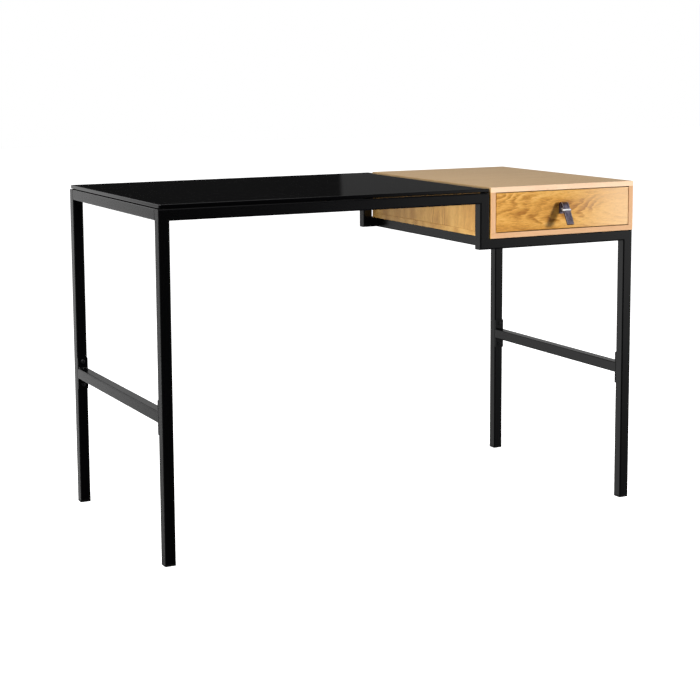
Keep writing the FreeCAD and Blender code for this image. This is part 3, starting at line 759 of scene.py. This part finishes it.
# %% Sweep the band
BAND_HEIGHT = 4.0 * MILLIMETRE
BAND_WALL = 0.8 * MILLIMETRE
BAND_EDGE = 0.3 * MILLIMETRE
BAND_FROM_BEND = 15.0 * MILLIMETRE
ARC_POINTS = 8


def rounded_box(half_x, half_y, radius):
    """Points round a rectangle with round corners, and the way out at each."""
    ring = []
    for corner, (sx, sy) in enumerate(((1, 1), (-1, 1), (-1, -1), (1, -1))):
        for i in range(ARC_POINTS + 1):
            angle = math.pi / 2 * (corner + i / ARC_POINTS)
            out = (math.cos(angle), math.sin(angle))
            centre = (sx * (half_x - radius), sy * (half_y - radius))
            ring.append((centre[0] + radius * out[0], centre[1] + radius * out[1], out))
    return ring


def swept_band(name):
    shape = bmesh.new()
    section = rounded_box(BAND_WALL / 2, BAND_HEIGHT / 2, BAND_EDGE)
    path = rounded_box((strap_width + BAND_WALL) / 2, (STRAP_THICK + BAND_WALL) / 2, BAND_WALL)
    rings = []
    for x, above, out in path:
        ring = []
        for aside, along_band, _ in section:
            place = tail_length + bend_length + BAND_FROM_BEND + along_band
            ring.append(shape.verts.new(on_strap(place, x + aside * out[0], above + aside * out[1])))
        rings.append(ring)
    for i, ring in enumerate(rings):
        following = rings[(i + 1) % len(rings)]
        for j in range(len(ring)):
            k = (j + 1) % len(ring)
            shape.faces.new([ring[j], ring[k], following[k], following[j]])
    return from_bmesh(name, shape)


band = swept_band("bright_strap_band")
band.data.materials.append(polished.material)
print("band faces:", len(band.data.polygons))

# %% [markdown]
# # Screws and bolts
# Every fastener repeats, so each kind is turned once, as on a lathe, and its recess is cut. The design's own
# solids say where each one goes: we split a node into its separate solids and read their boxes. Geometry Nodes
# then put a copy at each place, turned the way its head faces, and make the group one mesh.


# %% Find the separate solids of a design node
def solids_of(name):
    """The box of each separate solid in a node, as pairs of corners."""
    shape = bmesh.new()
    shape.from_mesh(nodes[name].data)
    bmesh.ops.remove_doubles(shape, verts=shape.verts, dist=1e-6)
    boxes = []
    waiting = set(shape.verts)
    while waiting:
        edge_of_search = [waiting.pop()]
        found = list(edge_of_search)
        while edge_of_search:
            vertex = edge_of_search.pop()
            for edge in vertex.link_edges:
                other = edge.other_vert(vertex)
                if other in waiting:
                    waiting.remove(other)
                    edge_of_search.append(other)
                    found.append(other)
        low = Vector([min(v.co[i] for v in found) for i in range(3)])
        high = Vector([max(v.co[i] for v in found) for i in range(3)])
        boxes.append((low, high))
    shape.free()
    return sorted(boxes, key=lambda box: tuple(round(v, 4) for v in box[0]))


for name in ("stretcher_bolts", "cabinet_hold_down_screws", "runner_cabinet_screws", "drawer_front_screws"):
    print(name, "has", len(solids_of(name)), "solids")

# %% Turn a screw and cut its recess
LATHE_STEPS = 32


def turned(name, profile):
    """Revolve a profile of (radius, height) points, from the head's top down to the tip, about Z."""
    shape = bmesh.new()
    rings = []
    for radius, height in profile:
        if radius == 0:
            rings.append([shape.verts.new((0, 0, height))])
        else:
            rings.append([shape.verts.new((x, y, height)) for x, y in round_outline(radius, LATHE_STEPS)])
    for upper, lower in zip(rings, rings[1:]):
        for i in range(LATHE_STEPS):
            j = (i + 1) % LATHE_STEPS
            corners = [upper[i % len(upper)], upper[j % len(upper)], lower[j % len(lower)], lower[i % len(lower)]]
            shape.faces.new(list(dict.fromkeys(corners)))
    return from_bmesh(name, shape)


def thread_profile(radius, start, end, pitch):
    """Points down a threaded shank: a crest and a root for each turn, and a pointed or blunt end."""
    points = []
    depth = radius * 0.16
    height = start
    while height - pitch > end:
        points += [(radius - depth, height), (radius, height - pitch * 0.5)]
        height -= pitch
    return points + [(radius - depth, height), (radius * 0.35, end), (0, end)]


def domed(radius, height, steps=6):
    """Points over a domed head, from its middle to its rim."""
    points = [(0, height)]
    for i in range(1, steps + 1):
        share = i / steps
        points.append((radius * share, height * (1 - 0.72 * share ** 2.6)))
    return points + [(radius, height * 0.10), (radius * 0.96, 0)]


def hex_key(across_flats):
    return round_outline(across_flats / math.sqrt(3), 6)


def cross_key(reach, width):
    """Outline of a cross recess."""
    a, b = width / 2, reach
    quarter = [(b, -a), (b, a), (a, a)]
    points = []
    for i in range(4):
        c, s = (1, 0, -1, 0)[i], (0, 1, 0, -1)[i]
        points += [(x * c - y * s, x * s + y * c) for x, y in quarter]
    return points


print("lathe ready")

# %% Place one kind of fastener at each of its solids
def fasteners(name, node, master, recipe, head_way, head_height, body):
    """Copies of a master at the solids of a node. head_way gives the way each head faces from its box."""
    seats = []
    ways = []
    for low, high in solids_of(node):
        centre = (low + high) / 2
        way = head_way(centre)
        outermost = Vector([high[i] if way[i] > 0 else low[i] if way[i] < 0 else centre[i] for i in range(3)])
        seats.append(outermost - way * head_height)
        ways.append(way)
    points = bpy.data.meshes.new(name + "_places")
    points.from_pydata(seats, [], [])
    facing_there = points.attributes.new("facing", "FLOAT_VECTOR", "POINT")
    for i, way in enumerate(ways):
        facing_there.data[i].vector = way

    pattern = Pattern("place_" + name, Size=1.0)
    facing = pattern.add("GeometryNodeInputNamedAttribute", {"data_type": "FLOAT_VECTOR"}, {"Name": "facing"})
    turn = pattern.add("FunctionNodeAlignRotationToVector", {"axis": "Z"}, {"Vector": facing})
    made = pattern.add("GeometryNodeObjectInfo", None, {"Object": master}, out="Geometry")
    size = pattern.size("Size")
    put = {"Points": pattern.guide(), "Instance": made, "Rotation": turn, "Scale": pattern.vector(size, size, size)}
    pattern.ends_with(pattern.add("GeometryNodeInstanceOnPoints", None, put), recipe)
    group = pattern.grow(name, new_piece(name, points))
    bpy.data.objects.remove(master)
    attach(group, body)
    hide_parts(node)
    print(name, len(seats), "placed,", len(group.data.polygons), "faces")


def shank_of(node, axis, head):
    """How long the shank of a node's first solid is, under its head."""
    low, high = solids_of(node)[0]
    return high[axis] - low[axis] - head


print("ready to place fasteners")

# %% Socket head bolts on the stretchers' end plates
BOLT_RADIUS = 3.0 * MILLIMETRE
BOLT_HEAD_RADIUS = 5.25 * MILLIMETRE
BOLT_HEAD = 3.0 * MILLIMETRE
BOLT_PITCH = 1.0 * MILLIMETRE
BOLT_KEY = 4.0 * MILLIMETRE
BOLT_KEY_FLOOR = 1.2 * MILLIMETRE
bolt_shank = shank_of("stretcher_bolts", 1, BOLT_HEAD)
bolt = turned("bolt", domed(BOLT_HEAD_RADIUS, BOLT_HEAD)
              + thread_profile(BOLT_RADIUS, -BOLT_PITCH, -bolt_shank, BOLT_PITCH))
key_hole = prism("key_hole", hex_key(BOLT_KEY), BOLT_KEY_FLOOR, 2 * BOLT_HEAD)
fasteners("socket_head_bolts", "stretcher_bolts", cut(bolt, key_hole), black_bolt,
          lambda at: Vector((0, 1 if at.y < 0 else -1, 0)), BOLT_HEAD, "desk")

# %% Cross-recess screws: under the cabinet, in the runners and in the drawer
WOOD_PITCH = 1.4 * MILLIMETRE


def cross_screw(name, radius, shank, head):
    """A wood screw: a head with a cross recess, a thread from where the head ends, and a point at its tip."""
    screw = turned(name, head + thread_profile(radius, head[-1][1], -shank, WOOD_PITCH))
    top = head[0][1]
    reach = head[-2][0] * 0.5
    return cut(screw, prism(name + "_key", cross_key(reach, reach * 0.45), top - reach * 0.6, top + reach))


def countersunk(radius, depth):
    """A flat head, level with its seat, that narrows to the shank."""
    return [(0, 0), (radius * 0.97, 0), (radius, -depth * 0.06), (radius * 0.55, -depth)]


def towards_drawer(at):
    """From a runner's web towards the drawer's middle."""
    return Vector((1 if at.x < drawer_middle_x else -1, 0, 0))


drawer_middle_x = middle_of("drawer_front").x
DOWN, BACKWARD = Vector((0, 0, -1)), Vector((0, 1, 0))
HOLD_HEAD = domed(5.0 * MILLIMETRE, 2.5 * MILLIMETRE)
RUNNER_HEAD = countersunk(3.2 * MILLIMETRE, 2.0 * MILLIMETRE)
FRONT_HEAD = domed(4.0 * MILLIMETRE, 2.2 * MILLIMETRE)
PULL_HEAD = domed(4.2 * MILLIMETRE, 2.4 * MILLIMETRE)

for name, node, axis, way, shank_radius, head, recipe, slot_name, body in (
        ("hold_down_screws", "cabinet_hold_down_screws", 2, lambda at: DOWN, 2.5, HOLD_HEAD, black_bolt,
         "dark_bolt_steel", "desk"),
        ("case_runner_screws", "runner_cabinet_screws", 0, towards_drawer, 1.75, RUNNER_HEAD, screw_zinc,
         "zinc_steel", "desk"),
        ("box_runner_screws", "runner_drawer_screws", 0, lambda at: -towards_drawer(at), 1.75, RUNNER_HEAD,
         screw_zinc, "zinc_steel", "drawer"),
        ("front_fixing_screws", "drawer_front_screws", 1, lambda at: BACKWARD, 2.0, FRONT_HEAD, screw_zinc,
         "zinc_steel", "drawer"),
        ("pull_fixing_screw", "pull_screw", 1, lambda at: BACKWARD, 2.0, PULL_HEAD, screw_zinc,
         "zinc_steel", "drawer")):
    above_seat = head[0][1]
    shank = shank_of(node, axis, above_seat)
    screw = cross_screw(name + "_master", shank_radius * MILLIMETRE, shank, head)
    fasteners(name, node, screw, recipe, way, above_seat, body)

# %% [markdown]
# # Weld beads
# The tubes are welded and their show faces ground flush, but inside the corners the bead stays: a row of small
# overlapping ripples under the powder coat. It follows a line, so it is one more pattern: the inside edges of
# each butt joint go in, and a flattened drop is laid down at every millimetre and a bit.

# %% Lay the beads
BEAD = 3.4 * MILLIMETRE
RIPPLE = 0.6 * BEAD
RIPPLE_PITCH = 1.3 * MILLIMETRE
BEAD_END = 3.0 * MILLIMETRE


def joint_lines(name, ends, edges):
    """Lines inside the butt joint at a tube's ends, along the named edges of its section."""
    low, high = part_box(name)
    x0, x1, z0, z1 = low.x + BEAD_END, high.x - BEAD_END, low.z + BEAD_END, high.z - BEAD_END
    spans = {
        "under": ((x0, low.z), (x1, low.z)),
        "over": ((x0, high.z), (x1, high.z)),
        "left": ((low.x, z0), (low.x, z1)),
        "right": ((high.x, z0), (high.x, z1)),
    }
    lines = []
    for y in ends:
        for edge in edges:
            (xa, za), (xb, zb) = spans[edge]
            lines.append(([Vector((xa, y, za)), Vector((xb, y, zb))], False))
    return lines


bead_lines = []
for name, edges in (("left_side_rail", ("under", "right")), ("left_bearer", ("left", "right")),
                    ("right_bearer", ("under", "left")), ("left_stretcher", ("under", "over")),
                    ("right_stretcher", ("under", "over"))):
    low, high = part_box(name)
    bead_lines += joint_lines(name, (low.y, high.y), edges)

welds = row_of_drops("weld_beads", powder, chain("bead_lines", *bead_lines), RIPPLE_PITCH, BEAD, RIPPLE)
print("weld bead faces:", len(welds.data.polygons))

# %% [markdown]
# Give each new piece its body
# Each piece rides on the body that carries it, and the design piece it stands for is hidden. The drawer's pieces
# then slide out with the drawer.

# %% Ride and replace
for piece, body, node, slot_name in (
        (strap, "drawer", "pull_strap", "strap_leather"),
        (band, "drawer", "pull_band", "band_metal"),
):
    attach(piece, body)
    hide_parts(node)
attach(strap_stitches, "drawer")
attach(welds, "desk")
print("all new pieces ride on a body")

# %% [markdown]
# # Floor, light and camera
# Black gloss has no colour of its own: it shows the room. The eye sees a plain white studio here, but surfaces
# see a darker one with a few soft cards, so the frame's left faces pick up a grey and its front faces stay
# black. A low soft lamp from the front right models the drawer front and throws the pull's shadow to the left,
# one overhead lights the tops, and a small one under the desk opens up the cabinet's left side. The low one and
# the small one stay out of reflections, because the sharp image of a lamp would glare on the gloss.

# %% A pale floor
FLOOR_SIZE = 30.0
FLOOR_GLOW = 0.95
floor_shape = bmesh.new()
bmesh.ops.create_grid(floor_shape, x_segments=2, y_segments=2, size=FLOOR_SIZE / 2)
floor = from_bmesh("studio_floor", floor_shape, smooth=False)
paper = Recipe("studio_paper")
paper.set(base_color=tone(236, 236, 236), roughness=0.9, specular_ior_level=0.0,
          emission_color=(1.0, 1.0, 1.0, 1.0), emission_strength=FLOOR_GLOW)
floor.data.materials.append(paper.material)
floor.visible_glossy = False
floor.visible_diffuse = False
print("floor ready")

# %% The room: white to the eye, and a dark studio with soft cards to the surfaces
EVERYWHERE = 0.009
world = bpy.data.worlds.new("studio")
world.use_nodes = True
bpy.context.scene.world = world
room = Nodes(world.node_tree)
backdrop = world.node_tree.nodes["Background"]
x, y, z = room.axes(room.add("ShaderNodeTexCoord", out="Generated"))
to_left = x.math("MULTIPLY", -1.0)
behind = y.between(0.1, 0.4)
far_behind = y.between(0.2, 0.5)
level = z.between(-0.45, -0.30) * (1.0 - z.between(0.30, 0.55))

overhead = z.between(0.35, 0.80) * (1.0 - x.between(0.40, 0.48) * 0.75) * (y.between(-0.45, 0.0) * 0.7 + 0.3)
back_left = behind * to_left.between(-0.02, 0.12) * (1.0 - to_left.between(0.27, 0.39) * 0.85)
floor_edge = (z - to_left * 2.1).between(-0.94, -0.83)
left_side = (to_left.between(0.38, 0.46) * 0.45 + to_left.between(0.52, 0.60) * 0.35) * behind
front_left = to_left.between(0.15, 0.45) * (1.0 - y.between(-0.25, 0.1))
front_right = x.between(0.44, 0.64) * (1.0 - y.between(-0.8, -0.5)) * (z.between(-0.24, -0.08) * 0.9 + 0.1)
front_right = front_right * (1.0 - z.between(0.10, 0.30) * 0.8)
seen_in_glass = far_behind * x.between(0.446, 0.449)
seen_in_stretchers = far_behind * x.between(0.12, 0.26) * z.between(0.13, 0.17)
right_side = x.between(0.72, 0.95)

light = EVERYWHERE
for card, glow in ((overhead, 0.62), (back_left * floor_edge * level, 1.0), (left_side * level, 1.0),
                   (front_left * level, 0.10), (front_right * level, 1.3), (right_side * level, 0.30),
                   (seen_in_glass * level, 0.040), (seen_in_stretchers * level, 0.45)):
    light = card * glow + light
eye = room.add("ShaderNodeLightPath", out="Is Camera Ray")
room.feed(backdrop.inputs["Strength"], eye + (1.0 - eye) * light)
room.feed(backdrop.inputs["Color"], (1.0, 1.0, 1.0, 1.0))
print("room ready")


# %% The lamps
def lamp(name, at, target, size, power, glossy):
    """A square soft lamp aimed at a point. The camera never sees it, and reflections only if glossy."""
    data = bpy.data.lights.new(name, "AREA")
    data.size = size
    data.energy = power
    piece = bpy.data.objects.new(name, data)
    bpy.context.scene.collection.objects.link(piece)
    piece.location = at
    piece.rotation_euler = (target - at).to_track_quat("-Z", "Y").to_euler()
    piece.visible_camera = False
    piece.visible_glossy = glossy
    return piece


def ray(turn, rise):
    """The way to look from the desk: turned from the front to the right, and raised, both in radians."""
    return Vector((math.sin(turn) * math.cos(rise), -math.cos(turn) * math.cos(rise), math.sin(rise)))


KEY_TURN = math.radians(46.0)
KEY_RISE = math.radians(8.0)
KEY_DISTANCE = 3.4
OVERHEAD_AT, OVERHEAD_AIM = Vector((-1.3, -0.4, 2.9)), Vector((-0.3, 0.0, 0.7))
SIDE_AT = Vector((-0.18, -0.36, 0.44))
aim = middle_of("drawer_front")
key = lamp("key_lamp", aim + ray(KEY_TURN, KEY_RISE) * KEY_DISTANCE, aim, size=0.60, power=150.0, glossy=False)
lamp("overhead_lamp", OVERHEAD_AT, OVERHEAD_AIM, size=0.8, power=62.0, glossy=True)
lamp("side_lamp", SIDE_AT, middle_of("cabinet_left_side"), size=0.25, power=3.8, glossy=False)
print("key lamp at", [round(v, 2) for v in key.location])

# %% The camera
CAMERA_AT = Vector((-1.7813, -3.4707, 1.0792))
CAMERA_AZIMUTH = math.radians(-26.965)
CAMERA_ELEVATION = math.radians(7.389)
CAMERA_ROLL = math.radians(-0.298)
CAMERA_LENS = 84.85
CAMERA_SHIFT_UP = -0.12

backward = ray(CAMERA_AZIMUTH, CAMERA_ELEVATION)
level_right = Vector((0, 0, 1)).cross(backward).normalized()
level_up = backward.cross(level_right)
right = level_right * math.cos(CAMERA_ROLL) + level_up * math.sin(CAMERA_ROLL)
up = backward.cross(right)
camera_data = bpy.data.cameras.new("camera")
camera_data.lens = CAMERA_LENS
camera_data.sensor_width = 36.0
camera_data.shift_y = CAMERA_SHIFT_UP
camera = bpy.data.objects.new("camera", camera_data)
camera.matrix_world = Matrix.Translation(CAMERA_AT) @ Matrix((right, up, backward)).transposed().to_4x4()
bpy.context.scene.collection.objects.link(camera)
bpy.context.scene.camera = camera
bpy.context.scene.view_settings.view_transform = "Standard"
print("camera at", [round(v, 3) for v in camera.location])
